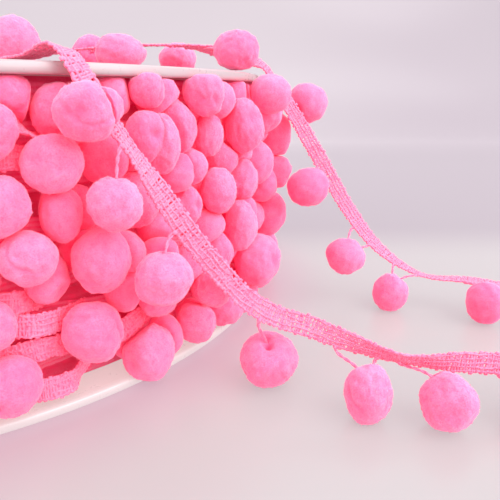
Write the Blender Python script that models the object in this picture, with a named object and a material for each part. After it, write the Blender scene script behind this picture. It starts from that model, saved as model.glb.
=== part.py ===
"""Pompom fringe trim, wound on a plain plastic reel, with a loose length draped over it.

Metres, +Z up.  The reel stands on its lower flange, its axis is the Z axis and its foot is at z = 0.
Azimuths are degrees about +Z from +X.
"""
import math
from collections import namedtuple

import bmesh
import bpy
import numpy as np
from mathutils import Vector
from mathutils.geometry import delaunay_2d_cdt

# ---------------------------------------------------------------- driving sizes
GAP = 0.0003                    # parting between touching pieces

REEL_RADIUS = 0.110
REEL_HEIGHT = 0.072
FLANGE_THICKNESS = 0.0024
FLANGE_EDGE_BEVEL = 0.0004
FLANGE_SIDES = 96

DRUM_RADIUS = 0.1025            # outside of the wound bands, under the pompoms
DRUM_BOTTOM = FLANGE_THICKNESS + GAP
DRUM_TOP = REEL_HEIGHT - FLANGE_THICKNESS - GAP
DRUM_SIDES = 72

POMPOM_RADIUS = 0.0057          # on the roll, a little squeezed
POMPOM_GAP = 0.0002
NEAREST_REACH = DRUM_RADIUS + 0.0030    # a pompom's centre, pressed in
FARTHEST_REACH = 0.1122                 # a pompom's centre, standing out
ROOT_RADIUS = 0.0021
ROOT_SIDES = 6

BAND_WIDTH = 0.0052             # with its looped lower edge
BAND_THICKNESS = 0.0012
EDGE_STRIP_WIDTH = 0.0010       # the looped edge that the drop yarns leave from
BAND_STEP = 0.0040
YARN_WIDTH = 0.0010
LOOSE_BALL_SIDES = 8

PINK = (0.95, 0.17, 0.40)
WHITE_PLASTIC = (0.90, 0.84, 0.86)

# ---------------------------------------------------------------- the roll
# Pompoms that stand out at the front: degrees round the reel, then millimetres.
Wound = namedtuple("Wound", "azimuth height reach radius")
STANDING_OUT = (
    Wound(-55.3, 60.3, 112.5, 4.5), Wound(-53.4, 64.2, 105.5, 4.9), Wound(-51.3, 53.4, 112.2, 5.6),
    Wound(-56.1, 46.0, 112.0, 5.3), Wound(-50.9, 44.1, 109.5, 5.1), Wound(-54.7, 36.5, 112.0, 5.3),
    Wound(-52.3, 29.5, 106.5, 4.7), Wound(-47.5, 33.4, 112.2, 5.9), Wound(-58.6, 23.5, 110.0, 4.9),
    Wound(-49.2, 17.8, 112.2, 5.8), Wound(-57.7, 11.5, 112.0, 5.2), Wound(-42.2, 8.6, 111.0, 5.4),
    Wound(-39.4, 64.0, 110.0, 4.9), Wound(-40.2, 57.8, 107.0, 4.8), Wound(-37.9, 55.9, 112.0, 4.9),
    Wound(-34.0, 59.2, 108.5, 4.7), Wound(-31.3, 64.0, 112.0, 5.1), Wound(-29.0, 56.7, 110.0, 4.6),
    Wound(-22.0, 58.0, 111.5, 5.3), Wound(-17.0, 64.2, 106.0, 4.8), Wound(-8.3, 61.0, 112.2, 5.6),
    Wound(-23.5, 49.5, 108.0, 4.7), Wound(-32.5, 38.5, 109.0, 4.8), Wound(-29.0, 41.7, 112.0, 5.5),
    Wound(-20.5, 43.3, 111.0, 5.2), Wound(-11.1, 38.9, 112.2, 5.5), Wound(-1.0, 52.0, 112.2, 5.3),
    Wound(-1.0, 40.0, 112.2, 5.4), Wound(-26.3, 26.8, 109.5, 5.2), Wound(-23.4, 31.0, 112.2, 5.7),
    Wound(-7.0, 25.5, 112.2, 5.5), Wound(-19.5, 18.5, 116.5, 5.9), Wound(-33.6, 9.6, 111.0, 5.1),
    Wound(-26.6, 8.8, 111.0, 5.0),
)
# The rest of the six wound layers: heights of the rows, and how unevenly their pompoms lie.
ROW_HEIGHTS = (0.0636, 0.0550, 0.0440, 0.0330, 0.0215, 0.0104)
ROW_PITCH = 8.0                 # degrees between pompoms of a row
ROW_DRIFT = 0.0018              # how far a row wanders up and down
REACH_DRIFT = 0.0048            # how far pompoms stand out unevenly
ROOM_BESIDE = 0.0085            # how near a row's pompom may begin to one that stands out

# ---------------------------------------------------------------- the loose length
# Folds of the loose band, millimetres: the middle of the band, and the way its fringed edge faces.
Fold = namedtuple("Fold", "x y z edge_x edge_y edge_z")
FOLDS = (
    Fold(194.0, -79.0, 5.4, 0.0, 0.0, -1.0),        # front end, on the floor
    Fold(176.0, -84.5, 9.0, 0.0, -0.1, -1.0),
    Fold(160.5, -85.5, 10.8, 0.0, -0.1, -1.0),
    Fold(153.0, -85.8, 11.3, 0.0, 0.0, -1.0),
    Fold(142.2, -85.6, 11.7, 0.0, 0.6, -0.8),       # leans over
    Fold(136.2, -84.8, 12.6, 0.0, 0.6, -0.8),
    Fold(127.5, -82.8, 15.0, -0.3, 0.2, -0.9),
    Fold(120.0, -80.5, 17.1, -0.3, -0.2, -0.9),
    Fold(111.5, -78.0, 19.0, -0.4, -0.4, -0.8),
    Fold(104.5, -76.5, 23.5, -0.6, -0.3, -0.7),     # leaves the roll
    Fold(95.0, -77.5, 35.6, -0.8, -0.3, -0.6),
    Fold(88.7, -80.0, 46.5, -0.6, -0.6, -0.5),
    Fold(83.9, -82.5, 55.5, -0.2, -0.9, -0.4),
    Fold(78.9, -84.2, 64.1, -0.7, -0.6, -0.4),
    Fold(75.8, -84.6, 70.4, -0.7, -0.7, -0.3),      # over the front rim
    Fold(71.6, -82.0, 74.5, -0.7, -0.7, 0.0),
    Fold(63.0, -75.6, 73.2, -0.6, -0.8, 0.0),
    Fold(46.0, -60.0, 73.2, -0.7, -0.7, 0.0),
    Fold(36.0, -38.0, 74.6, -1.0, 0.0, 0.0),
    Fold(46.0, -18.0, 78.2, -0.6, 0.8, 0.0),
    Fold(66.0, -12.5, 80.4, -0.1, 1.0, 0.0),        # between the pompoms on the flange
    Fold(83.0, -12.5, 80.6, 0.0, 1.0, 0.0),
    Fold(93.0, -13.5, 79.4, 0.0, 1.0, -0.4),
    Fold(103.0, -15.5, 77.0, 0.0, -0.4, -0.9),
    Fold(110.8, -16.5, 74.4, -0.1, -0.9, -0.4),     # over the far rim
    Fold(114.8, -16.2, 69.0, -0.4, -0.8, -0.4),
    Fold(119.6, -15.6, 62.0, -0.7, -0.5, -0.5),
    Fold(129.8, -16.0, 45.5, -0.8, -0.2, -0.5),
    Fold(139.6, -18.5, 29.4, -0.8, -0.4, -0.4),
    Fold(150.0, -22.3, 17.0, -0.6, -0.8, -0.3),
    Fold(162.5, -28.5, 10.2, -0.3, -0.9, 0.1),
    Fold(178.0, -33.0, 9.7, -0.2, -1.0, -0.1),
    Fold(200.0, -38.0, 5.4, 0.0, -0.6, -0.8),       # far end, on the floor
)

# Pompoms of the loose length, millimetres, in the order of the band.  A pompom that rests gives the
# height of what it rests on, one that hangs or leans gives its middle.  slant is how far along the
# band its yarn leaves, from the place nearest to it.
FLOOR = 0.0
ON_FLANGE = 1000.0 * (REEL_HEIGHT + GAP)
Ball = namedtuple("Ball", "x y rests middle radius slant")
SPANS = {
    "fringe_front_floor": (
        Ball(184.0, -90.0, FLOOR, None, 5.8, -4.0),
        Ball(165.5, -92.6, FLOOR, None, 5.8, 5.0),
        Ball(147.2, -92.4, FLOOR, None, 6.0, 8.0),
        Ball(131.4, -90.0, FLOOR, None, 5.6, 9.0),
        Ball(111.0, -76.0, FLOOR, None, 6.2, 4.0),
    ),
    "fringe_front_fall": (
        Ball(99.5, -70.8, None, 21.8, 5.2, 3.0),
        Ball(88.6, -84.0, None, 29.6, 5.7, 12.0),
        Ball(81.4, -88.0, None, 46.5, 5.1, 12.0),
        Ball(77.2, -91.0, None, 62.9, 5.1, 2.0),
    ),
    "fringe_top": (
        Ball(49.0, -49.0, ON_FLANGE, None, 5.8, 0.0),
        Ball(27.0, -27.0, ON_FLANGE, None, 5.8, 0.0),
        Ball(52.0, 2.0, ON_FLANGE, None, 5.8, 2.0),
        Ball(69.5, -31.0, ON_FLANGE, None, 5.8, 4.0),
        Ball(82.0, 0.0, ON_FLANGE, None, 5.3, 0.0),
        Ball(103.6, -27.0, ON_FLANGE, None, 5.8, -4.0),
    ),
    "fringe_back_fall": (
        Ball(115.2, -27.8, None, 66.0, 5.1, -2.0),
        Ball(126.6, -8.0, None, 63.0, 5.8, 0.0),
        Ball(125.8, -24.0, None, 37.5, 5.6, -4.0),
        Ball(138.5, -26.5, None, 16.0, 5.6, -6.0),
    ),
    "fringe_back_floor": (
        Ball(152.0, -32.8, FLOOR, None, 5.6, -4.0),
        Ball(178.0, -42.4, FLOOR, None, 5.8, -6.0),
        Ball(197.0, -44.5, FLOOR, None, 5.8, -2.0),
    ),
}


# ---------------------------------------------------------------- small helpers
def material(name, colour, roughness):
    made = bpy.data.materials.new(name)
    made.use_nodes = True
    shader = made.node_tree.nodes["Principled BSDF"]
    shader.inputs["Base Color"].default_value = (*colour, 1.0)
    shader.inputs["Roughness"].default_value = roughness
    shader.inputs["Metallic"].default_value = 0.0
    return made


def add_object(name, mesh_builder, finish):
    """Turn a bmesh into a scene object, closed and facing out."""
    bmesh.ops.triangulate(mesh_builder, faces=mesh_builder.faces)
    bmesh.ops.recalc_face_normals(mesh_builder, faces=mesh_builder.faces)
    if mesh_builder.calc_volume(signed=True) < 0.0:
        bmesh.ops.reverse_faces(mesh_builder, faces=mesh_builder.faces)
    mesh = bpy.data.meshes.new(name)
    mesh_builder.to_mesh(mesh)
    mesh_builder.free()
    mesh.shade_smooth()
    mesh.set_sharp_from_angle(angle=math.radians(60))
    mesh.materials.append(finish)
    made = bpy.data.objects.new(name, mesh)
    bpy.context.scene.collection.objects.link(made)
    return made


def loop_faces(build, ring, next_ring):
    """Quads between two rings of the same number of points."""
    for i in range(len(ring)):
        j = (i + 1) % len(ring)
        build.faces.new((ring[i], ring[j], next_ring[j], next_ring[i]))


def fan_faces(build, ring, tip):
    for i in range(len(ring)):
        build.faces.new((ring[i], ring[(i + 1) % len(ring)], tip))


# ---------------------------------------------------------------- the loose band's route
def smooth(rows, steps):
    """Catmull-Rom curve through the rows, which are equal-length tuples of numbers."""
    rows = [np.array(row, float) for row in rows]
    rows = [2 * rows[0] - rows[1]] + rows + [2 * rows[-1] - rows[-2]]
    curve = []
    for a, b, c, d in zip(rows, rows[1:], rows[2:], rows[3:]):
        for step in range(steps):
            t = step / steps
            curve.append(0.5 * (2 * b + (c - a) * t + (2 * a - 5 * b + 4 * c - d) * t ** 2
                                + (3 * b - a - 3 * c + d) * t ** 3))
    curve.append(rows[-2])
    return np.array(curve)


class Route:
    """The band's middle line, read by the distance along it."""

    def __init__(self, folds):
        curve = smooth(folds, 24)
        self.points = curve[:, :3] * 0.001
        self.edges = curve[:, 3:]
        reach = np.linalg.norm(np.diff(self.points, axis=0), axis=1)
        self.along = np.concatenate(([0.0], np.cumsum(reach)))
        self.length = self.along[-1]

    def at(self, distance):
        return np.array([np.interp(distance, self.along, self.points[:, k]) for k in range(3)])

    def frame(self, distance):
        """Middle, direction, way to the fringed edge, and face of the band."""
        ahead = self.at(distance + 0.001) - self.at(distance - 0.001)
        ahead /= np.linalg.norm(ahead)
        edge = np.array([np.interp(distance, self.along, self.edges[:, k]) for k in range(3)])
        edge -= ahead * edge.dot(ahead)
        edge /= np.linalg.norm(edge)
        return self.at(distance), ahead, edge, np.cross(ahead, edge)

    def nearest(self, point):
        return self.along[np.argmin(np.linalg.norm(self.points - point, axis=1))]


def tape_ring(route, distance, inner, outer):
    """The four corners of the tape's section, between two offsets towards the fringed edge."""
    middle, _, edge, face = route.frame(distance)
    half = 0.5 * BAND_THICKNESS * face
    return [middle + edge * inner + half, middle + edge * outer + half,
            middle + edge * outer - half, middle + edge * inner - half]


def loose_balls(route):
    """Every pompom of the loose length, with the place where its yarn leaves the band."""
    placed = []
    for span, balls in SPANS.items():
        for ball in balls:
            radius = ball.radius * 0.001
            height = ball.middle if ball.rests is None else ball.rests + ball.radius
            centre = np.array((ball.x, ball.y, height)) * 0.001
            leaves = route.nearest(centre) + ball.slant * 0.001
            rests = None if ball.rests is None else ball.rests * 0.001
            placed.append((span, centre, radius, leaves, rests))
    return placed


# ---------------------------------------------------------------- the roll's pompoms
def settle(balls, radii, yields, reaches, solid_points, solid_radii):
    """Push the wound pompoms apart, and off the loose length that lies on them.

    yields is how readily each pompom gives way, and reaches how far out each may stand.
    """
    touch = radii[:, None] + radii[None, :] + POMPOM_GAP
    share = yields[:, None] / (yields[:, None] + yields[None, :])
    for _ in range(320):
        apart = balls[:, None, :] - balls[None, :, :]
        far = np.linalg.norm(apart, axis=2) + 1e-9
        push = np.clip(touch - far, 0.0, None) * share
        np.fill_diagonal(push, 0.0)
        balls = balls + 0.7 * (apart / far[:, :, None] * push[:, :, None]).sum(axis=1)
        off = balls[:, None, :] - solid_points[None, :, :]
        far = np.linalg.norm(off, axis=2) + 1e-9
        push = np.clip(radii[:, None] + solid_radii[None, :] + GAP - far, 0.0, None)
        worst = push.argmax(axis=1)
        row = np.arange(len(balls))
        balls = balls + (off[row, worst] / far[row, worst, None]) * push[row, worst, None]
        reach = np.hypot(balls[:, 0], balls[:, 1])
        held = np.clip(reach, NEAREST_REACH, reaches)
        balls[:, :2] *= (held / reach)[:, None]
        room = radii + GAP
        balls[:, 2] = np.clip(balls[:, 2], DRUM_BOTTOM + room, DRUM_TOP - room)
    return balls


def first_places():
    """Rows of the roll's pompoms before they settle: x y z, radius, yield and farthest reach."""
    placed = []
    for ball in STANDING_OUT:
        angle = math.radians(ball.azimuth)
        reach = ball.reach * 0.001
        placed.append((reach * math.cos(angle), reach * math.sin(angle), ball.height * 0.001,
                       ball.radius * 0.001, 0.1, max(reach, FARTHEST_REACH)))
    standing = np.array(placed)[:, :3]
    count = round(360 / ROW_PITCH)
    for row, height in enumerate(ROW_HEIGHTS):
        for i in range(count):
            angle = 2 * math.pi * (i + 0.5 * (row % 2)) / count
            wander = math.sin(2.4 * i + 1.9 * row)
            reach = FARTHEST_REACH - REACH_DRIFT * (0.5 + 0.5 * math.sin(5.1 * i + 2.3 * row))
            place = (reach * math.cos(angle), reach * math.sin(angle),
                     height + ROW_DRIFT * wander)
            if np.linalg.norm(standing - place, axis=1).min() > ROOM_BESIDE:
                radius = POMPOM_RADIUS - 0.0005 * (1.0 + math.sin(3.7 * i + 1.3 * row))
                placed.append(place + (radius, 1.0, FARTHEST_REACH))
    return np.array(placed)


def wound_pompoms(route):
    """Centres and radii of the pompoms on the roll."""
    placed = first_places()
    band = [route.at(d) + route.frame(d)[2] * offset for d in np.arange(0.0, route.length, 0.0015)
            for offset in (-0.0015, 0.0015)]
    loose = loose_balls(route)
    points = np.array(band + [centre for _, centre, _, _, _ in loose])
    radii = np.array([0.0016] * len(band) + [radius for _, _, radius, _, _ in loose])
    balls = settle(placed[:, :3], placed[:, 3], placed[:, 4], placed[:, 5], points, radii)
    sizes = placed[:, 3]
    between = np.linalg.norm(balls[:, None] - balls[None], axis=2) + np.eye(len(balls))
    squeeze = (between - POMPOM_GAP) / (sizes[:, None] + sizes[None, :])
    off_loose = (np.linalg.norm(balls[:, None] - points[None], axis=2) - radii).min(axis=1)
    return balls, np.minimum(sizes * np.minimum(squeeze.min(axis=1), 1.0), off_loose - GAP)


def drum_net(balls):
    """Triangles of the drum's side, unrolled, with a hole at each pompom's root.

    The net is laid out three times side by side, and only the middle copy's triangles are kept,
    so that it closes on itself.
    """
    flat = []
    for ball in balls:
        azimuth = math.atan2(ball[1], ball[0])
        for i in range(ROOT_SIDES):
            turn = 2 * math.pi * i / ROOT_SIDES
            flat.append((azimuth + ROOT_RADIUS * math.cos(turn) / DRUM_RADIUS,
                         ball[2] + ROOT_RADIUS * math.sin(turn)))
    for height in (DRUM_BOTTOM, DRUM_TOP):
        flat += [(2 * math.pi * i / DRUM_SIDES, height) for i in range(DRUM_SIDES)]
    copies = [Vector(((azimuth + 2 * math.pi * turn) * DRUM_RADIUS, height))
              for turn in (-1, 0, 1) for azimuth, height in flat]
    triangles = delaunay_2d_cdt(copies, [], [], 0, 1e-7)[2]
    kept = []
    for triangle in triangles:
        middle = sum(copies[v].x for v in triangle) / 3
        ids = tuple(v % len(flat) for v in triangle)
        one_root = len({v // ROOT_SIDES for v in ids}) == 1 and max(ids) < len(balls) * ROOT_SIDES
        if 0.0 <= middle < 2 * math.pi * DRUM_RADIUS and not one_root:
            kept.append(ids)
    return flat, kept


def wound_trim(route, finish):
    """The roll as one solid: the drum of wound bands and the pompoms that stand on it."""
    balls, sizes = wound_pompoms(route)
    flat, triangles = drum_net(balls)
    build = bmesh.new()
    points = [build.verts.new((DRUM_RADIUS * math.cos(a), DRUM_RADIUS * math.sin(a), z))
              for a, z in flat]
    for triangle in triangles:
        build.faces.new([points[v] for v in triangle])
    first_rim = len(balls) * ROOT_SIDES
    build.faces.new(points[first_rim:first_rim + DRUM_SIDES])
    build.faces.new(points[first_rim + DRUM_SIDES:])
    swell = 1.07                # the flat facets keep a round ball's bulk
    for index, (ball, size) in enumerate(zip(balls, sizes)):
        azimuth = math.atan2(ball[1], ball[0])
        out = np.array((math.cos(azimuth), math.sin(azimuth), 0.0))
        across = np.array((-math.sin(azimuth), math.cos(azimuth), 0.0))
        up = np.array((0.0, 0.0, 1.0))
        ring = points[index * ROOT_SIDES:(index + 1) * ROOT_SIDES]
        for latitude, shift in ((-14.0, 0.5), (42.0, 0.0)):
            rise = size * swell * math.sin(math.radians(latitude))
            wide = size * swell * math.cos(math.radians(latitude))
            turns = [2 * math.pi * (i + shift) / ROOT_SIDES for i in range(ROOT_SIDES)]
            next_ring = [build.verts.new(ball + out * rise + wide * (across * math.cos(t)
                                                                     + up * math.sin(t)))
                         for t in turns]
            for i in range(ROOT_SIDES):
                j = (i + 1) % ROOT_SIDES
                if shift:
                    build.faces.new((ring[i], ring[j], next_ring[i]))
                    build.faces.new((next_ring[i], ring[j], next_ring[j]))
                else:
                    build.faces.new((ring[i], next_ring[j], next_ring[i]))
                    build.faces.new((ring[i], ring[j], next_ring[j]))
            ring = next_ring
        fan_faces(build, ring, build.verts.new(ball + out * size * 0.97))
    return add_object("wound_trim", build, finish)


# ---------------------------------------------------------------- the loose length
def loose_band(route, finish):
    """The tape of the loose length, without its looped edge."""
    build = bmesh.new()
    inner = -0.5 * BAND_WIDTH
    outer = 0.5 * BAND_WIDTH - EDGE_STRIP_WIDTH - GAP
    count = round(route.length / BAND_STEP)
    rings = []
    for i in range(count + 1):
        corners = tape_ring(route, route.length * i / count, inner, outer)
        rings.append([build.verts.new(corner) for corner in corners])
    for ring, next_ring in zip(rings, rings[1:]):
        loop_faces(build, ring, next_ring)
    build.faces.new(rings[0])
    build.faces.new(rings[-1])
    return add_object("loose_band", build, finish)


def ball_rings(centre, axis, radius):
    """Rings of a ball from its yarn's side to its far side, its far tip, and its two cross axes."""
    side = np.cross(axis, (0.0, 0.0, 1.0) if abs(axis[2]) < 0.8 else (1.0, 0.0, 0.0))
    side /= np.linalg.norm(side)
    other = np.cross(axis, side)
    rings = []
    for polar in (32.0, 70.0, 110.0, 148.0):
        back = -math.cos(math.radians(polar)) * radius
        wide = math.sin(math.radians(polar)) * radius
        turns = [2 * math.pi * (i + 0.5) / LOOSE_BALL_SIDES for i in range(LOOSE_BALL_SIDES)]
        rings.append([centre + axis * back + wide * (side * math.cos(t) + other * math.sin(t))
                      for t in turns])
    return rings, centre + axis * radius, side, other


def fringe_span(name, route, balls, start, end, finish):
    """A length of the looped edge, with its drop yarns and pompoms."""
    build = bmesh.new()
    outer = 0.5 * BAND_WIDTH
    inner = outer - EDGE_STRIP_WIDTH
    count = max(2, round((end - start) / BAND_STEP))
    stations = {start + (end - start) * i / count for i in range(count + 1)}
    roots = {}
    for number, (_, _, _, leaves, _) in enumerate(balls):
        leaves = min(max(leaves, start + YARN_WIDTH), end - YARN_WIDTH)
        stations = {s for s in stations if abs(s - leaves) > YARN_WIDTH or s in (start, end)}
        roots[leaves - 0.5 * YARN_WIDTH] = number
    for low in roots:
        stations |= {low, low + YARN_WIDTH}
    stations = sorted(stations)
    rings = [[build.verts.new(corner) for corner in tape_ring(route, s, inner, outer)]
             for s in stations]
    build.faces.new(rings[0])
    build.faces.new(rings[-1])
    for station, ring, next_ring in zip(stations, rings, rings[1:]):
        if station not in roots:
            loop_faces(build, ring, next_ring)
            continue
        for i in (0, 2, 3):
            j = (i + 1) % 4
            build.faces.new((ring[i], ring[j], next_ring[j], next_ring[i]))
        _, centre, radius, _, rests = balls[roots[station]]
        add_drop(build, [ring[1], next_ring[1], next_ring[2], ring[2]], centre, radius, rests,
                 *route.frame(station)[2:])
    return add_object(name, build, finish)


def add_drop(build, root, centre, radius, rests, edge, face):
    """A drop yarn that leaves the looped edge, clears the band's face and ends in its pompom."""
    start = np.mean([np.array(vert.co) for vert in root], axis=0)
    towards = centre - start
    reach = np.linalg.norm(towards)
    wraps = towards.dot(edge) < 0.0
    lead, clear = (0.10, 0.50) if wraps else (0.40, 0.20)
    bow = start + reach * (edge * lead + face * clear * np.sign(face.dot(towards)))
    away = bow - centre
    bow = centre + away * max(1.0, 1.3 * radius / np.linalg.norm(away))
    axis = (centre - bow) / np.linalg.norm(centre - bow)
    rings, tip, side, other = ball_rings(centre, axis, radius)
    if rests is not None:
        lowest = min(min(point[2] for ring in rings for point in ring), tip[2])
        lift = np.array((0.0, 0.0, rests - lowest))
        centre = centre + lift
        rings = [[point + lift for point in ring] for ring in rings]
        tip = tip + lift
    entry = centre - axis * 0.97 * radius
    ring = root
    corners = [Vector(vert.co) - Vector(start) for vert in root]
    heading = Vector(edge)
    for t in (0.35, 0.7, 1.0):
        middle = start * (1 - t) ** 2 + bow * 2 * t * (1 - t) + entry * t ** 2
        ahead = Vector((bow - start) * (1 - t) + (entry - bow) * t)
        turn = heading.rotation_difference(ahead).to_matrix()
        corners = [turn @ corner for corner in corners]
        heading = ahead
        next_ring = [build.verts.new(Vector(middle) + corner) for corner in corners]
        loop_faces(build, ring, next_ring)
        ring = next_ring
    ball_ring = [build.verts.new(point) for point in rings[0]]
    close_yarn_on_ball(build, ring, ball_ring, corners, side, other)
    for points in rings[1:]:
        next_ring = [build.verts.new(point) for point in points]
        loop_faces(build, ball_ring, next_ring)
        ball_ring = next_ring
    fan_faces(build, ball_ring, build.verts.new(tip))


def close_yarn_on_ball(build, ring, ball_ring, corners, side, other):
    """Join the yarn's four corners to the eight points of the ball's first ring."""
    turns = [math.atan2(np.dot(corner, other), np.dot(corner, side)) for corner in corners]
    sense = 1 if math.sin(turns[1] - turns[0]) > 0.0 else -1
    nearest = round(turns[0] * LOOSE_BALL_SIDES / (2 * math.pi) - 0.5)
    around = [ball_ring[(nearest + sense * i) % LOOSE_BALL_SIDES] for i in range(LOOSE_BALL_SIDES)]
    for k in range(4):
        here, following = ring[k], ring[(k + 1) % 4]
        low, middle, high = (around[(2 * k + i) % LOOSE_BALL_SIDES] for i in range(3))
        build.faces.new((here, low, middle))
        build.faces.new((here, middle, following))
        build.faces.new((following, middle, high))


def loose_fringe(route, finish):
    """The looped edge in spans that part at the rims and at the floor."""
    placed = loose_balls(route)
    names = list(SPANS)
    leaves = {name: [ball[3] for ball in placed if ball[0] == name] for name in names}
    cuts = [0.0]
    for name, next_name in zip(names, names[1:]):
        cuts.append(0.5 * (max(leaves[name]) + min(leaves[next_name])))
    cuts.append(route.length)
    for i, name in enumerate(names):
        start = cuts[i] + (0.5 * GAP if i else 0.0)
        end = cuts[i + 1] - (0.5 * GAP if i + 1 < len(names) else 0.0)
        balls = [ball for ball in placed if ball[0] == name]
        fringe_span(name, route, balls, start, end, finish)


# ---------------------------------------------------------------- the reel
def flange(name, foot, finish):
    """A plain round flange with softened edges, its lower face at height foot."""
    build = bmesh.new()
    bmesh.ops.create_cone(build, cap_ends=True, segments=FLANGE_SIDES, radius1=REEL_RADIUS,
                          radius2=REEL_RADIUS, depth=FLANGE_THICKNESS)
    rims = [edge for edge in build.edges if abs(edge.verts[0].co.z - edge.verts[1].co.z) < 1e-6]
    bmesh.ops.bevel(build, geom=rims, offset=FLANGE_EDGE_BEVEL, segments=1, affect='EDGES')
    bmesh.ops.translate(build, verts=build.verts, vec=(0.0, 0.0, foot + 0.5 * FLANGE_THICKNESS))
    return add_object(name, build, finish)


def main():
    for old in list(bpy.data.objects):
        bpy.data.objects.remove(old, do_unlink=True)
    plastic = material("reel_plastic", WHITE_PLASTIC, 0.35)
    yarn = material("pink_yarn", PINK, 0.9)
    route = Route(FOLDS)
    flange("reel_bottom_flange", 0.0, plastic)
    flange("reel_top_flange", REEL_HEIGHT - FLANGE_THICKNESS, plastic)
    wound_trim(route, yarn)
    loose_band(route, yarn)
    loose_fringe(route, yarn)


main()
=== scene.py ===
"""Looks of the pompom fringe trim on its reel: yarn, tape, pompoms, plastic, floor and light."""
import math
from collections import namedtuple

import bmesh
import bpy
import numpy as np
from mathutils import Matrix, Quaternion, Vector


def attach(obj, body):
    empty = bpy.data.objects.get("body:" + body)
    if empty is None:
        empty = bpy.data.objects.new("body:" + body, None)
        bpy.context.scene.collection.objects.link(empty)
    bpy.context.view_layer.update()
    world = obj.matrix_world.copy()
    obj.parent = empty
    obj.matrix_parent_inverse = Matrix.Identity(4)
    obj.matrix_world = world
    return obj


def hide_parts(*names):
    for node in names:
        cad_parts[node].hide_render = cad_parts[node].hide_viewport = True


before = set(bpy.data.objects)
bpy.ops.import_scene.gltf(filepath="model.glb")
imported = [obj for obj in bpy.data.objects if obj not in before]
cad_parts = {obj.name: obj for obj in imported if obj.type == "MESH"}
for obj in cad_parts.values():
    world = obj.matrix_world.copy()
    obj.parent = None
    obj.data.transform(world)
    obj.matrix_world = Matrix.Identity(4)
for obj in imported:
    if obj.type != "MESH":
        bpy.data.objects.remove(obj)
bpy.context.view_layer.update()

# ---------------------------------------------------------------- sizes, as in the part's source
GAP = 0.0003
MILLIMETRE = 0.001
REEL_RADIUS = 0.110
REEL_HEIGHT = 0.072
FLANGE_THICKNESS = 0.0024
DRUM_RADIUS = 0.1025
DRUM_BOTTOM = FLANGE_THICKNESS + GAP
DRUM_TOP = REEL_HEIGHT - FLANGE_THICKNESS - GAP
POMPOM_RADIUS = 0.0057
POMPOM_GAP = 0.0002
NEAREST_REACH = DRUM_RADIUS + 0.0030
FARTHEST_REACH = 0.1122
BAND_WIDTH = 0.0052

# Pompoms placed one by one at the roll's front: degrees round, then height, reach, radius in mm.
STANDING_OUT = (
    (-55.3, 60.3, 112.5, 4.5), (-53.4, 64.2, 105.5, 4.9), (-51.3, 53.4, 112.2, 5.6),
    (-56.1, 46.0, 112.0, 5.3), (-50.9, 44.1, 109.5, 5.1), (-54.7, 36.5, 112.0, 5.3),
    (-52.3, 29.5, 106.5, 4.7), (-47.5, 33.4, 112.2, 5.9), (-58.6, 23.5, 110.0, 4.9),
    (-49.2, 17.8, 112.2, 5.8), (-57.7, 11.5, 112.0, 5.2), (-42.2, 8.6, 111.0, 5.4),
    (-39.4, 64.0, 110.0, 4.9), (-40.2, 57.8, 107.0, 4.8), (-37.9, 55.9, 112.0, 4.9),
    (-34.0, 59.2, 108.5, 4.7), (-31.3, 64.0, 112.0, 5.1), (-29.0, 56.7, 110.0, 4.6),
    (-22.0, 58.0, 111.5, 5.3), (-17.0, 64.2, 106.0, 4.8), (-8.3, 61.0, 112.2, 5.6),
    (-23.5, 49.5, 108.0, 4.7), (-32.5, 38.5, 109.0, 4.8), (-29.0, 41.7, 112.0, 5.5),
    (-20.5, 43.3, 111.0, 5.2), (-11.1, 38.9, 112.2, 5.5), (-1.0, 52.0, 112.2, 5.3),
    (-1.0, 40.0, 112.2, 5.4), (-26.3, 26.8, 109.5, 5.2), (-23.4, 31.0, 112.2, 5.7),
    (-7.0, 25.5, 112.2, 5.5), (-19.5, 18.5, 116.5, 5.9), (-33.6, 9.6, 111.0, 5.1),
    (-26.6, 8.8, 111.0, 5.0),
)
# The rest of the outer layer: heights of its six rows, and how unevenly their pompoms lie.
ROW_HEIGHTS = (0.0636, 0.0550, 0.0440, 0.0330, 0.0215, 0.0104)
ROW_PITCH = 8.0                 # degrees between pompoms of a row
ROW_DRIFT = 0.0018              # how far a row wanders up and down
REACH_DRIFT = 0.0048            # how far pompoms stand out unevenly
ROOM_BESIDE = 0.0085            # how near a row's pompom may begin to one that stands out

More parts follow.
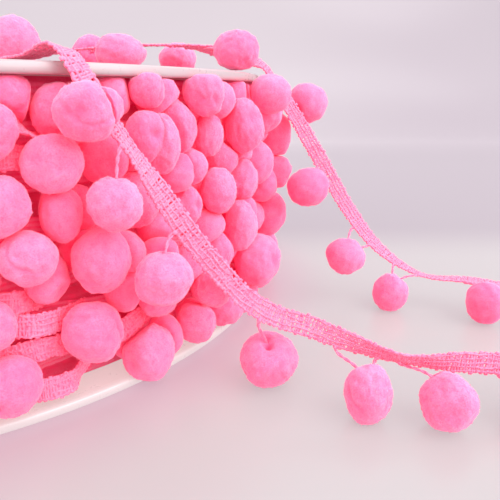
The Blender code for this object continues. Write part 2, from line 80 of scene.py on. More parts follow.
# The loose band's middle line, x y z in mm, and the way to its looped edge at each point.
FOLDS = (
    (194.0, -79.0, 5.4, 0.0, 0.0, -1.0),        # front end, on the floor
    (176.0, -84.5, 9.0, 0.0, -0.1, -1.0),
    (160.5, -85.5, 10.8, 0.0, -0.1, -1.0),
    (153.0, -85.8, 11.3, 0.0, 0.0, -1.0),
    (142.2, -85.6, 11.7, 0.0, 0.6, -0.8),       # leans over
    (136.2, -84.8, 12.6, 0.0, 0.6, -0.8),
    (127.5, -82.8, 15.0, -0.3, 0.2, -0.9),
    (120.0, -80.5, 17.1, -0.3, -0.2, -0.9),
    (111.5, -78.0, 19.0, -0.4, -0.4, -0.8),
    (104.5, -76.5, 23.5, -0.6, -0.3, -0.7),     # leaves the roll
    (95.0, -77.5, 35.6, -0.8, -0.3, -0.6),
    (88.7, -80.0, 46.5, -0.6, -0.6, -0.5),
    (83.9, -82.5, 55.5, -0.2, -0.9, -0.4),
    (78.9, -84.2, 64.1, -0.7, -0.6, -0.4),
    (75.8, -84.6, 70.4, -0.7, -0.7, -0.3),      # over the front rim
    (71.6, -82.0, 74.5, -0.7, -0.7, 0.0),
    (63.0, -75.6, 73.2, -0.6, -0.8, 0.0),
    (46.0, -60.0, 73.2, -0.7, -0.7, 0.0),
    (36.0, -38.0, 74.6, -1.0, 0.0, 0.0),
    (46.0, -18.0, 78.2, -0.6, 0.8, 0.0),
    (66.0, -12.5, 80.4, -0.1, 1.0, 0.0),        # between the pompoms on the flange
    (83.0, -12.5, 80.6, 0.0, 1.0, 0.0),
    (93.0, -13.5, 79.4, 0.0, 1.0, -0.4),
    (103.0, -15.5, 77.0, 0.0, -0.4, -0.9),
    (110.8, -16.5, 74.4, -0.1, -0.9, -0.4),     # over the far rim
    (114.8, -16.2, 69.0, -0.4, -0.8, -0.4),
    (119.6, -15.6, 62.0, -0.7, -0.5, -0.5),
    (129.8, -16.0, 45.5, -0.8, -0.2, -0.5),
    (139.6, -18.5, 29.4, -0.8, -0.4, -0.4),
    (150.0, -22.3, 17.0, -0.6, -0.8, -0.3),
    (162.5, -28.5, 10.2, -0.3, -0.9, 0.1),
    (178.0, -33.0, 9.7, -0.2, -1.0, -0.1),
    (200.0, -38.0, 5.4, 0.0, -0.6, -0.8),       # far end, on the floor
)

FLOOR = 0.0
ON_FLANGE = 1000.0 * (REEL_HEIGHT + GAP)
# The loose length's pompoms, in mm: x, y, what each rests on or else its middle's height, its
# radius, and how much further along than its nearest place its yarn leaves the band.
SPANS = {
    "fringe_front_floor": (
        (184.0, -90.0, FLOOR, None, 5.8, -4.0),
        (165.5, -92.6, FLOOR, None, 5.8, 5.0),
        (147.2, -92.4, FLOOR, None, 6.0, 8.0),
        (131.4, -90.0, FLOOR, None, 5.6, 9.0),
        (111.0, -76.0, FLOOR, None, 6.2, 4.0),
    ),
    "fringe_front_fall": (
        (99.5, -70.8, None, 21.8, 5.2, 3.0),
        (88.6, -84.0, None, 29.6, 5.7, 12.0),
        (81.4, -88.0, None, 46.5, 5.1, 12.0),
        (77.2, -91.0, None, 62.9, 5.1, 2.0),
    ),
    "fringe_top": (
        (49.0, -49.0, ON_FLANGE, None, 5.8, 0.0),
        (27.0, -27.0, ON_FLANGE, None, 5.8, 0.0),
        (52.0, 2.0, ON_FLANGE, None, 5.8, 2.0),
        (69.5, -31.0, ON_FLANGE, None, 5.8, 4.0),
        (82.0, 0.0, ON_FLANGE, None, 5.3, 0.0),
        (103.6, -27.0, ON_FLANGE, None, 5.8, -4.0),
    ),
    "fringe_back_fall": (
        (115.2, -27.8, None, 66.0, 5.1, -2.0),
        (126.6, -8.0, None, 63.0, 5.8, 0.0),
        (125.8, -24.0, None, 37.5, 5.6, -4.0),
        (138.5, -26.5, None, 16.0, 5.6, -6.0),
    ),
    "fringe_back_floor": (
        (152.0, -32.8, FLOOR, None, 5.6, -4.0),
        (178.0, -42.4, FLOOR, None, 5.8, -6.0),
        (197.0, -44.5, FLOOR, None, 5.8, -2.0),
    ),
}

# Second yarns, which run back from a pompom to the band: m along the band.
RUNNING_BACK = {
    ("fringe_front_floor", 3): 0.0608, ("fringe_top", 5): 0.2800,
    ("fringe_back_fall", 3): 0.3725, ("fringe_back_floor", 0): 0.3905,
}
# Yarns that leave the band elsewhere than beside their pompom: m along the band.
LEAVING = {("fringe_front_fall", 1): 0.1145, ("fringe_front_fall", 2): 0.1355}

# How a pompom's pile differs from its firm ball: mm sideways and up, times as wide, times as
# high, and mm further out from the reel.
Pile = namedtuple("Pile", "aside up wide high out", defaults=(0.0,))
PLAIN_PILE = Pile(0.0, 0.0, 1.0, 1.0)
WOUND_PILES = {
    0: (-1.4, 0.5, 0.88, 0.90), 1: (-2.0, 1.4, 1.00, 1.00), 2: (0.0, 0.0, 0.88, 0.89),
    3: (-1.0, 0.0, 0.93, 0.95), 4: (0.4, 0.4, 0.76, 1.10), 5: (-0.2, 0.4, 0.99, 0.87),
    6: (-0.6, 0.8, 0.98, 0.92), 8: (-0.8, 0.0, 0.97, 0.97), 9: (0.0, 0.0, 0.97, 1.03),
    11: (0.2, -0.6, 0.92, 1.12), 12: (-1.0, 3.2, 0.75, 0.78),
    13: (2.6, 0.8, 0.84, 0.96, 3.6), 14: (-1.6, 1.6, 0.96, 1.16, -0.6),
    15: (1.0, 0.4, 0.98, 1.20), 16: (-0.5, 2.5, 0.94, 0.92),
    17: (0.0, 0.8, 0.70, 1.06), 18: (-0.3, -0.5, 0.91, 1.13, 2.0),
    19: (-0.6, 2.0, 1.05, 1.10), 20: (0.2, 0.8, 1.0, 1.12),
    22: (0.2, 1.8, 0.82, 0.90), 23: (0.2, 0.0, 0.76, 1.00),
    26: (3.0, 0.2, 1.12, 1.20), 27: (2.1, 0.0, 1.12, 1.15),
    28: (0.0, 0.0, 0.88, 1.02, 1.0), 29: (-0.8, -1.2, 0.74, 1.14, 1.5),
    30: (1.6, 1.8, 1.08, 1.12), 31: (-1.1, 0.2, 1.13, 1.24),
    32: (0.2, 0.0, 0.94, 0.94),
    72: (-2.7, 0.3, 0.98, 1.0, -0.6), 73: (2.2, 2.5, 1.10, 1.50, 3.5),
    149: (-1.2, 0.3, 0.88, 0.90), 229: (0.6, -2.2, 0.78, 0.78),
}
LOOSE_PILES = {
    "fringe_front_floor": {
        2: (0.0, 0.0, 0.91, 1.0), 3: (0.0, 0.0, 0.85, 1.13), 4: (0.0, 0.0, 1.06, 0.98),
    },
    "fringe_front_fall": {
        0: (-1.2, 0.4, 0.80, 0.80), 1: (-0.1, 0.1, 1.05, 0.93), 3: (0.8, 0.2, 0.97, 0.97),
    },
    "fringe_top": {
        0: (0.0, 0.0, 1.02, 0.98), 2: (0.6, 0.0, 1.10, 1.08), 3: (1.2, 0.0, 1.15, 0.80),
        4: (0.2, 0.0, 1.14, 0.95), 5: (-0.8, 0.0, 1.03, 0.95),
    },
    "fringe_back_fall": {
        0: (-2.6, 0.2, 1.12, 1.04), 1: (-1.2, 0.0, 1.08, 1.10), 2: (-0.9, 0.6, 1.10, 1.08),
        3: (-0.9, 0.0, 1.04, 1.02),
    },
    "fringe_back_floor": {0: (-0.6, 0.0, 0.96, 1.04), 1: (-0.8, 0.0, 0.97, 1.06)},
}
# Navels that draw the pile in, besides the places of the yarns: way x y z, depth in mm and
# how wide.
NAVELS = {
    "fringe_front_fall": {
        1: (-0.10, -0.98, -0.10, 0.5, 0.36), 2: (0.35, -0.90, 0.05, 0.6, 0.34),
        3: (0.15, -0.97, 0.05, 1.1, 0.30),
    },
    "fringe_front_floor": {
        2: (-0.15, -0.95, 0.10, 0.7, 0.34), 3: (0.70, -0.60, 0.05, 0.6, 0.30),
        4: (-0.02, -0.45, 0.89, 2.4, 0.17),
    },
}
# The second lobe of the pompom that hangs at the front rim: middle and radius, mm.
LOBE_MIDDLE = (80.6, -88.2, 64.0)
LOBE_RADIUS = 3.5

# Pompoms of the layer below that show in wide gaps: degrees round, height, reach and radius, mm.
DEEPER = (
    (-44.5, 54.2, 106.5, 6.0), (-42.3, 66.2, 105.2, 4.4), (-31.6, 49.0, 108.4, 4.3),
    (-35.4, 48.7, 110.0, 4.3),
)

# How far the loose tape is twisted on its way over the front rim: m along it, and degrees.
TWIST = ((0.1120, 0.0), (0.1226, 2.0), (0.1331, 8.0), (0.1380, 15.0), (0.1432, 20.0),
         (0.1503, 16.0), (0.1569, 14.0), (0.1650, 0.0))

# Lengths of wound tape that loop out between the pompoms. Rows of degrees round, height and
# reach in mm, and how far the tape's width leans out of upright and turns along the roll,
# in degrees.
TAPE_LOOPS = (
    ((-61.0, 21.3, 103.6, 0, 0), (-57.0, 21.6, 107.0, 8, 0), (-54.5, 21.2, 108.6, 14, 3),
     (-52.5, 20.9, 108.2, 4, 3), (-50.5, 20.4, 106.0, 0, 0), (-47.5, 20.0, 103.2, 0, 0)),
    ((-62.0, 27.2, 103.6, 0, 0), (-59.0, 27.0, 106.2, -8, 0), (-56.8, 26.4, 106.9, 0, 4),
     (-55.0, 25.8, 105.8, 0, 6), (-52.5, 25.2, 103.2, 0, 8)),
    ((-60.0, 13.6, 103.6, 0, 0), (-57.0, 14.6, 106.6, 10, -6), (-54.7, 15.3, 107.7, 16, 0),
     (-52.8, 15.1, 107.4, -10, 8), (-51.0, 14.2, 106.0, 0, 12), (-48.0, 13.0, 103.2, 0, 0)),
    ((-59.0, 5.4, 103.6, 0, 0), (-56.5, 6.0, 107.3, 0, -5), (-54.5, 6.6, 109.2, 10, 0),
     (-52.6, 6.5, 109.5, 16, 2), (-51.0, 6.5, 108.6, 6, -6), (-49.8, 7.2, 106.2, 0, -14),
     (-47.5, 8.6, 103.2, 0, -14)),
    ((-50.0, 10.3, 103.4, 0, -10), (-47.0, 12.0, 106.0, 0, -16), (-45.0, 13.2, 107.3, 8, -20),
     (-42.8, 14.8, 107.8, 8, -22), (-40.6, 16.6, 107.0, 0, -20), (-37.5, 18.4, 103.4, 0, 0)),
    ((-62.0, 54.0, 103.4, 0, 0), (-58.0, 55.0, 106.4, 0, 0), (-55.4, 55.1, 108.0, 10, 0),
     (-53.8, 54.9, 107.6, 10, 5), (-52.0, 54.2, 105.6, 0, 5), (-49.0, 53.6, 103.2, 0, 0)),
    ((-59.0, 61.3, 103.4, 20, 0), (-55.0, 61.0, 106.8, 50, 8), (-53.2, 60.0, 108.3, 66, 14),
     (-51.8, 58.4, 107.6, 66, 20), (-49.5, 56.6, 104.0, 30, 10)),
)

# ---------------------------------------------------------------- sizes of the dressing
STEPS_BETWEEN_FOLDS = 24
SOFT_SWELL = 0.00055            # pile that stands past a wound pompom's firm ball
LOOSE_SWELL = 0.0002            # and past a loose one's
YARN_DENT = 0.0013              # how deep a yarn draws the pile in
OVER_RIM = 0.0010               # how far pile may swell up or down past a disc, outside its rim
CONTACT_SOFTNESS = 0.0005       # how roundly a pompom flattens on what it touches
CONTACT_RANGE = 0.0016          # pompoms further apart than this don't press each other
CONTACT_GAP = 0.00004
TAPE_RANGE = 0.0006             # how near the tape presses a pompom
TAPE_ROOM = 0.0007              # and how much room its yarns take
RIM_FADE = 0.0016               # over this width outside a rim the disc stops pressing pile
FIBRE_HALF_WIDTH = 0.000055
FIBRE_REACH = (0.00022, 0.00060)
RIB_OFFSETS = (-2.0, -1.0, 0.0, 1.0, 2.0)       # lengthwise stitch ribs across the tape, mm
WEFT_PITCH = 0.00052
WEFTS_IN_A_GROUP = 3
GROUP_OPENING = 0.00018         # the row of tiny holes between two groups
FRONT_AZIMUTHS = (-72.0, 4.0)   # the roll's finest side, degrees
FRONT_START = math.radians(FRONT_AZIMUTHS[0])
FINE_TO_AZIMUTH = -19.0         # from the front's start to here the pile is finest
DEEPER_REACHES = ((0.1085, 360.0), (0.1060, 80.0), (0.1035, 80.0))  # and degrees filled there
DEEPER_COLUMNS = 96
DEEPER_HEIGHTS = (0.0076, 0.0660, 0.0052)       # first, last and step
DEEPER_RADIUS = 0.0052
DEEPER_ROOM = (0.0072, 0.0058, 0.0080)  # least gap to the outer layer, to tape and between them
SETTLE_ROUNDS = 320
HELD_YIELD = 0.1                # how readily a listed pompom gives way, beside 1 for others
FIBRES_CLOSE, FIBRES_FAR = 340, 34      # loose fibres of one pompom
STRAND_RADIUS = 0.00023         # one of a drop yarn's two strands
STRAND_TURN = 0.0040            # length of one turn of their twist
KNOT_RADIUS = 0.00062
WEFT_HALVES = (0.00027, 0.00033)        # half of the weft's thickness and width
RIB_HALVES = (0.00032, 0.00031)
RIB_WAVES = 2.496               # waves of the ribs over half the wound tape's width
TURN_COLUMNS = 11
TURN_REACH = 0.1038             # from the reel's axis to the turns between the pompoms
WALL_REACH = 0.1008             # and to the close-wound turns behind them
WALL_TURNS = 12
DISC_SIDES = 180
MIDDLE_FACE = 0.020             # radius of the one face that closes a disc's middle
LIP_DEPTH = 0.00022
WIDER_BELOW = 0.0008            # how much larger the lower disc is in radius

WOUND_TURNS = (0.0668, 0.0590, 0.0497, 0.0392, 0.0300, 0.0208, 0.0098)      # heights of the turns
LEFT_OUT = (268,)               # the wound pompom that gives way to a loop of tape

UP = np.array((0.0, 0.0, 1.0))
rng = np.random.default_rng(7)


# ---------------------------------------------------------------- materials
EASED = "SMOOTHSTEP"
OBJECT_PLACE = 3                # the texture coordinate node's output in the object's own axes


class Shade:
    """A node's output that can be used in arithmetic."""

    def __init__(self, finish, socket):
        self.finish = finish
        self.socket = socket

    def maths(self, operation, first, second):
        return self.finish.node("ShaderNodeMath", {"operation": operation}, first, second)

    def __add__(self, other):
        return self.maths("ADD", self, other)

    __radd__ = __add__

    def __mul__(self, other):
        return self.maths("MULTIPLY", self, other)

    __rmul__ = __mul__

    def __sub__(self, other):
        return self.maths("SUBTRACT", self, other)

    def __rsub__(self, other):
        return self.maths("SUBTRACT", other, self)

    def __pow__(self, other):
        return self.maths("POWER", self, other)


class Finish:
    """A material whose nodes are added one by one."""

    def __init__(self, name, **shader):
        self.material = bpy.data.materials.new(name)
        self.material.use_nodes = True
        self.material.cycles.emission_sampling = "NONE"
        self.tree = self.material.node_tree
        self.principled = self.tree.nodes["Principled BSDF"]
        for name, value in shader.items():
            self.set(name.replace("_", " "), value)

    def node(self, kind, settings=None, *values, output=0, **named):
        """Add a node: its settings first, then its sockets in order, then by name."""
        made = self.tree.nodes.new(kind)
        for name, value in (settings or {}).items():
            setattr(made, name, value)
        for index, value in enumerate(values):
            self.feed(made.inputs[index], value)
        for name, value in named.items():
            self.feed(made.inputs[name.replace("_", " ")], value)
        return Shade(self, made.outputs[output])

    def feed(self, socket, value):
        if isinstance(value, Shade):
            self.tree.links.new(value.socket, socket)
        elif value is not None:
            socket.default_value = (*value, 1.0) if socket.type == "RGBA" else value

    def set(self, name, value):
        self.feed(self.principled.inputs[name], value)

    def place(self):
        return self.node("ShaderNodeTexCoord", output=OBJECT_PLACE)

    def noise(self, place, scale, detail=2.0, roughness=0.5):
        return self.node("ShaderNodeTexNoise", Vector=place, Scale=scale, Detail=detail,
                         Roughness=roughness)

    def bump(self, height, strength, distance, under=None):
        return self.node("ShaderNodeBump", Strength=strength, Distance=distance, Height=height,
                         Normal=under)

    def share(self, value, low, high, first=0.0, last=1.0, eased=False):
        """Where a value stands between low and high, given from first to last."""
        return self.node("ShaderNodeMapRange", {"interpolation_type": EASED} if eased else None,
                         value, low, high, first, last)

    def axis(self, vector, name):
        return self.node("ShaderNodeSeparateXYZ", None, vector, output=name)

    def blend(self, share, low, high):
        """A colour between two colours."""
        return self.node("ShaderNodeMix", {"data_type": "RGBA"}, share, *[None] * 5, low, high,
                         output=2)


PINK = (0.990, 0.182, 0.342)
PINK_DEEP = (0.985, 0.124, 0.264)
PINK_PALE = (0.990, 0.258, 0.432)
TAPE_PINK = (0.985, 0.165, 0.315)
TAPE_PALE = (0.990, 0.250, 0.400)
# The two darkest pinks serve as painted shade: in the pile's creases, the knit's hollows and
# holes, and on the shaded wall of tape.
TAPE_DEEP = (0.980, 0.075, 0.195)
PAINTED_SHADE_PINK = (0.960, 0.055, 0.180)
# Painted glow: pile, tapes and yarns emit a little red, so their creases stay bright pink.
PAINTED_GLOW_TINT = (1.0, 0.015, 0.10)
PAINTED_GLOW_STRENGTH = 0.14


def pompom_yarn():
    """Cut pile: close short fibres in soft tufts, paler at the tips."""
    # Painted glow: a little red light of the pile's own.
    finish = Finish("pompom_yarn", Roughness=0.95, Sheen_Weight=0.45, Sheen_Roughness=0.5,
                    Sheen_Tint=(1.0, 0.62, 0.82), Subsurface_Weight=0.7,
                    Subsurface_Radius=(1.0, 0.28, 0.38), Subsurface_Scale=0.0024,
                    Specular_IOR_Level=0.1, Emission_Color=PAINTED_GLOW_TINT, Emission_Strength=PAINTED_GLOW_STRENGTH)
    place = finish.place()
    tufts = finish.noise(place, 620.0, 3.0, 0.6)
    fibres = finish.noise(place, 3000.0, 3.0, 0.65)
    dye = finish.noise(place, 60.0, 1.0)
    specks = finish.share(finish.noise(place, 1500.0, 2.0, 0.7), 0.30, 0.42)
    mottle = finish.share(tufts * 0.45 + fibres * 0.55, 0.30, 0.66)
    tone = finish.blend(mottle * 0.7 + 0.3 * specks, PINK_DEEP, PINK)
    pale = finish.blend(finish.share(dye * 0.5 + mottle * 0.5, 0.40, 0.85), tone, PINK_PALE)
    # Painted shade: the pile turns toward the shade pink in its creases, navels and yarn dents,
    # and on most pompoms away from the front.
    painted_shade = finish.node("ShaderNodeAttribute", {"attribute_name": "painted_shade_map"}, output=2)
    finish.set("Base Color", finish.blend(painted_shade * (0.6 + 0.6 * mottle), pale, PAINTED_SHADE_PINK))
    lumps = finish.bump(tufts, 0.4, 0.0005)
    finish.set("Normal", finish.bump(fibres, 0.5, 0.0002, lumps))
    return finish.material


def trim_tape(name, low, middle_tone, high, glow):
    """The wound tape's knit: weft stitches across, five chain ribs along."""
    # Painted glow, with a strength given for each copy of the tape.
    finish = Finish(name, Roughness=0.78, Sheen_Weight=0.35, Sheen_Roughness=0.4,
                    Sheen_Tint=(1.0, 0.75, 0.88), Specular_IOR_Level=0.3,
                    Emission_Color=PAINTED_GLOW_TINT, Emission_Strength=glow)
    place = finish.place()
    flat = finish.node("ShaderNodeUVMap")
    weft = finish.node("ShaderNodeMath", {"operation": "SINE"},
                       finish.axis(flat, "Y") * (2000.0 * math.pi * MILLIMETRE / WEFT_PITCH))
    across = finish.node("ShaderNodeMath", {"operation": "COSINE"},
                         finish.axis(flat, "X") * (2.0 * math.pi))
    strands = finish.noise(place, 1900.0, 3.0, 0.6)
    wear = finish.noise(place, 160.0, 2.0)
    # Painted light and shade: the colour follows the knit's relief, darker in its hollows and
    # paler on its raised stitches, and random wear turns parts of it pale.
    relief = weft * 0.32 + across * 0.36 + strands * 0.6
    lit = finish.share(relief, -0.25, 0.85)
    finish.set("Base Color", finish.blend(finish.share(wear * 0.5 + lit * 0.5, 0.35, 0.85),
                                          finish.blend(lit, low, middle_tone), high))
    finish.set("Normal", finish.bump(relief, 0.7, 0.00025))
    return finish.material


def spun_yarn():
    """Plied yarn of the loose tape and the drops: fine fibres round the strand."""
    # Painted glow, as on the pile.
    finish = Finish("spun_yarn", Roughness=0.74, Sheen_Weight=0.4, Sheen_Roughness=0.4,
                    Sheen_Tint=(1.0, 0.78, 0.9), Specular_IOR_Level=0.3,
                    Emission_Color=PAINTED_GLOW_TINT, Emission_Strength=PAINTED_GLOW_STRENGTH)
    place = finish.place()
    fibres = finish.noise(place, 3200.0, 3.0, 0.65)
    plies = finish.noise(place, 900.0, 2.0)
    raised = finish.share(fibres * 0.5 + plies * 0.5, 0.38, 0.62)
    # Painted shade: small dark spots stand for the shadow in the tape's holes.
    painted_hole_shade = finish.share(finish.noise(place, 1300.0, 2.0, 0.6), 0.58, 0.68)
    finish.set("Base Color", finish.blend(
        painted_hole_shade * 0.7, finish.blend(raised, TAPE_PINK, TAPE_PALE), TAPE_DEEP))
    finish.set("Normal", finish.bump(fibres, 0.6, 0.00012))
    return finish.material


def gloss_plastic():
    """Moulded white plastic, waved and scuffed. By height, the lower disc has a painted glow over
    a darker base colour, and the upper disc a lighter base colour without glow.
    """
    finish = Finish("reel_plastic", Emission_Strength=1.0, Coat_Weight=0.15,
                    Coat_Roughness=0.2, Specular_IOR_Level=0.5, Subsurface_Weight=0.08,
                    Subsurface_Radius=(1.0, 0.9, 0.9), Subsurface_Scale=0.001)
    place = finish.place()
    cloud = finish.noise(place, 22.0, 3.0)
    scuffs = finish.noise(place, 700.0, 2.0, 0.7)
    height = finish.share(finish.axis(place, "Z") + (cloud - 0.5) * 0.01, 0.0, REEL_HEIGHT)
    # Painted light: the base colour and the glow change with height.
    finish.set("Base Color", finish.blend(height, (0.215, 0.165, 0.178), (0.395, 0.325, 0.342)))
    finish.set("Emission Color", finish.blend(height, (0.560, 0.505, 0.495), (0.0, 0.0, 0.0)))
    finish.set("Roughness", finish.share(scuffs, 0.2, 0.8, 0.24, 0.38))
    finish.set("Normal", finish.bump(cloud, 0.15, 0.0004))
    return finish.material


def studio_paper():
    """The pale table that turns into a backdrop, and glows. Beside the reel the glow is a painted
    pink for the light that the pile sends back on it; on the backdrop it is painted brighter to
    the left.
    """
    finish = Finish("studio_paper", Roughness=0.32, Specular_IOR_Level=0.45,
                    Emission_Strength=1.0)
    place = finish.place()
    side, back = finish.axis(place, "X"), finish.axis(place, "Y")
    far = finish.share(back, 0.015, 0.075, eased=True)
    wall = finish.share(back, 0.35, 0.70, eased=True)
    # Painted pink light on the table beside the reel.
    beside_reel = finish.share((side * side + back * back) ** 0.5, 0.104, 0.140, 1.0, 0.0,
                               eased=True)
    # Painted light on the backdrop, brighter to the left.
    to_left = finish.share(side, 0.05, 0.45, 1.0, 0.0, eased=True)
    paper = finish.blend(finish.noise(place, 8.0, 2.0), (0.110, 0.109, 0.107),
                         (0.115, 0.114, 0.112))
    distant = finish.blend(wall, (0.110, 0.092, 0.108), (0.178, 0.153, 0.175))
    finish.set("Base Color", finish.blend(far, paper, distant))
    behind = finish.blend(to_left * wall, (0.346, 0.313, 0.338), (0.432, 0.400, 0.415))
    glow = finish.blend(far, (0.477, 0.433, 0.452), behind)
    finish.set("Emission Color", finish.blend(beside_reel * (1 - far * 0.6), glow,
                                              (0.512, 0.300, 0.388)))
    return finish.material


# ---------------------------------------------------------------- mesh helpers
def piece(name, points, faces, material, flat=None):
    """A smooth mesh piece, with a UV map named flat if one is given."""
    mesh = bpy.data.meshes.new(name)
    mesh.from_pydata(np.asarray(points).tolist(), [],
                     faces.tolist() if isinstance(faces, np.ndarray) else faces)
    mesh.polygons.foreach_set("use_smooth", [True] * len(mesh.polygons))
    if flat is not None:
        loops = np.zeros(len(mesh.loops), np.int32)
        mesh.loops.foreach_get("vertex_index", loops)
        layer = mesh.uv_layers.new(name="flat")
        layer.data.foreach_set("uv", np.asarray(flat, np.float32)[loops].ravel())
    mesh.materials.append(material)
    mesh.update()
    made = bpy.data.objects.new(name, mesh)
    bpy.context.scene.collection.objects.link(made)
    return made


class Heap:
    """Points and faces gathered from many small forms."""

    def __init__(self):
        self.points = []
        self.faces = []
        self.painted_shade = []
        self.count = 0

    def add(self, points, faces, painted_shade=None):
        self.points.append(points)
        self.faces.append(np.asarray(faces) + self.count)
        self.painted_shade.append(np.zeros(len(points)) if painted_shade is None else painted_shade)
        self.count += len(points)

    def piece(self, name, material):
        faces = [face for block in self.faces for face in block.tolist()]
        made = piece(name, np.concatenate(self.points), faces, material)
        # Per point share of painted shade in the pile's colour.
        layer = made.data.attributes.new("painted_shade_map", "FLOAT", "POINT")
        layer.data.foreach_set("value", np.concatenate(self.painted_shade).astype(np.float32))
        return made


def grid_faces(rows, columns, closed):
    """Quads of a grid of points, closed round each row if it is a tube."""
    row = np.arange(rows - 1)[:, None] * columns
    wide = columns if closed else columns - 1
    here = np.arange(wide)
    beside = (here + 1) % columns
    return np.stack([row + here, row + beside, row + columns + beside, row + columns + here],
                    axis=-1).reshape(-1, 4)


def spread_out(*parts):
    """Points from their coordinates, each spread over the same grid."""
    return np.stack(np.broadcast_arrays(*parts), axis=-1)


def on_roll(azimuth, reach, height):
    """The point at an azimuth in radians, a reach from the reel's axis, and a height."""
    return np.array((reach * math.cos(azimuth), reach * math.sin(azimuth), height))


def nearest_gap(points, place):
    """How far a place is from the nearest of the points."""
    return np.linalg.norm(points - place, axis=1).min()


def unit(vectors):
    return vectors / (np.linalg.norm(vectors, axis=-1, keepdims=True) + 1e-12)


def add_tube(heap, path, up, thick, wide, sides):
    """A closed tube along a path: up is the way of its thickness, at each point."""
    ahead = unit(np.gradient(path, axis=0))
    side = unit(np.cross(ahead, up))
    up = np.cross(side, ahead)
    turns = 2 * math.pi * (np.arange(sides)[:, None] + 0.5) / sides
    thick = np.broadcast_to(thick, len(path))[:, None, None]
    wide = np.broadcast_to(wide, len(path))[:, None, None]
    rings = (path[:, None] + up[:, None] * (np.cos(turns) * thick)
             + side[:, None] * (np.sin(turns) * wide))
    last = (len(path) - 1) * sides
    caps = [[0, i + 1, i] for i in range(1, sides - 1)]
    caps += [[last, last + i, last + i + 1] for i in range(1, sides - 1)]
    caps = np.array(caps) + heap.count
    heap.add(rings.reshape(-1, 3), grid_faces(len(path), sides, True))
    heap.faces.append(caps)


# ---------------------------------------------------------------- where tape and pompoms lie
def smooth(rows, steps):
    """Catmull-Rom curve through the rows, which are equal-length tuples of numbers."""
    rows = [np.array(row, float) for row in rows]
    rows = [2 * rows[0] - rows[1]] + rows + [2 * rows[-1] - rows[-2]]
    curve = []
    for a, b, c, d in zip(rows, rows[1:], rows[2:], rows[3:]):
        for step in range(steps):
            t = step / steps
            curve.append(0.5 * (2 * b + (c - a) * t + (2 * a - 5 * b + 4 * c - d) * t ** 2
                                + (3 * b - a - 3 * c + d) * t ** 3))
    curve.append(rows[-2])
    return np.array(curve)


class Route:
    """A tape's middle line and the way to its looped edge, read by the distance along it."""

    def __init__(self, folds, twist=((0.0, 0.0),)):
        curve = smooth(folds, STEPS_BETWEEN_FOLDS)
        self.twist = np.array(twist).T
        self.points = curve[:, :3] * MILLIMETRE
        self.edges = curve[:, 3:]
        reach = np.linalg.norm(np.diff(self.points, axis=0), axis=1)
        self.along = np.concatenate(([0.0], np.cumsum(reach)))
        self.length = self.along[-1]

    def read(self, rows, distance):
        return np.stack([np.interp(distance, self.along, rows[:, k]) for k in range(3)], axis=-1)

    def at(self, distance):
        return self.read(self.points, distance)

    def frame(self, distance):
        """Middle, direction, way to the looped edge, and face of the tape."""
        ahead = unit(self.at(distance + MILLIMETRE) - self.at(distance - MILLIMETRE))
        edge = self.read(self.edges, distance)
        edge = unit(edge - ahead * (edge * ahead).sum(axis=-1, keepdims=True))
        turn = np.radians(np.interp(distance, *self.twist))[..., None]
        edge = edge * np.cos(turn) + np.cross(ahead, edge) * np.sin(turn)
        return self.at(distance), ahead, edge, np.cross(ahead, edge)

    def nearest(self, point):
        return self.along[np.argmin(np.linalg.norm(self.points - point, axis=1))]


def loop_routes():
    """The wound tape's loops as routes of their own."""
    routes = []
    for turns in TAPE_LOOPS:
        folds = []
        for azimuth, height, reach, *leans in turns:
            angle, lean, roll = np.radians((azimuth, *leans))
            outward = on_roll(angle, 1.0, 0.0)
            edge = (-UP * math.cos(lean) * math.cos(roll) + outward * math.sin(lean)
                    + np.cross(UP, outward) * math.sin(roll))
            folds.append((*on_roll(angle, reach, height), *edge))
        routes.append(Route(folds))
    return routes


def loose_balls(route):
    """Every pompom of the loose length, with the place where its yarn leaves the band."""
    placed = []
    for span, balls in SPANS.items():
        for x, y, rests, middle, radius, slant in balls:
            height = middle if rests is None else rests + radius
            centre = np.array((x, y, height)) * MILLIMETRE
            placed.append((span, centre, radius * MILLIMETRE,
                           route.nearest(centre) + slant * MILLIMETRE,
                           None if rests is None else rests * MILLIMETRE))
    return placed


def settle(balls, radii, yields, reaches, solid_points, solid_radii):
    """Push the wound pompoms apart, and off the loose length that lies on them.

    yields is how readily each pompom gives way, and reaches how far out each may stand.
    """
    touch = radii[:, None] + radii[None, :] + POMPOM_GAP
    share = yields[:, None] / (yields[:, None] + yields[None, :])
    for _ in range(SETTLE_ROUNDS):
        apart = balls[:, None, :] - balls[None, :, :]
        far = np.linalg.norm(apart, axis=2) + 1e-9
        push = np.clip(touch - far, 0.0, None) * share
        np.fill_diagonal(push, 0.0)
        balls = balls + 0.7 * (apart / far[:, :, None] * push[:, :, None]).sum(axis=1)
        off = balls[:, None, :] - solid_points[None, :, :]
        far = np.linalg.norm(off, axis=2) + 1e-9
        push = np.clip(radii[:, None] + solid_radii[None, :] + GAP - far, 0.0, None)
        worst = push.argmax(axis=1)
        row = np.arange(len(balls))
        balls = balls + (off[row, worst] / far[row, worst, None]) * push[row, worst, None]
        reach = np.hypot(balls[:, 0], balls[:, 1])
        held = np.clip(reach, NEAREST_REACH, reaches)
        balls[:, :2] *= (held / reach)[:, None]
        room = radii + GAP
        balls[:, 2] = np.clip(balls[:, 2], DRUM_BOTTOM + room, DRUM_TOP - room)
    return balls


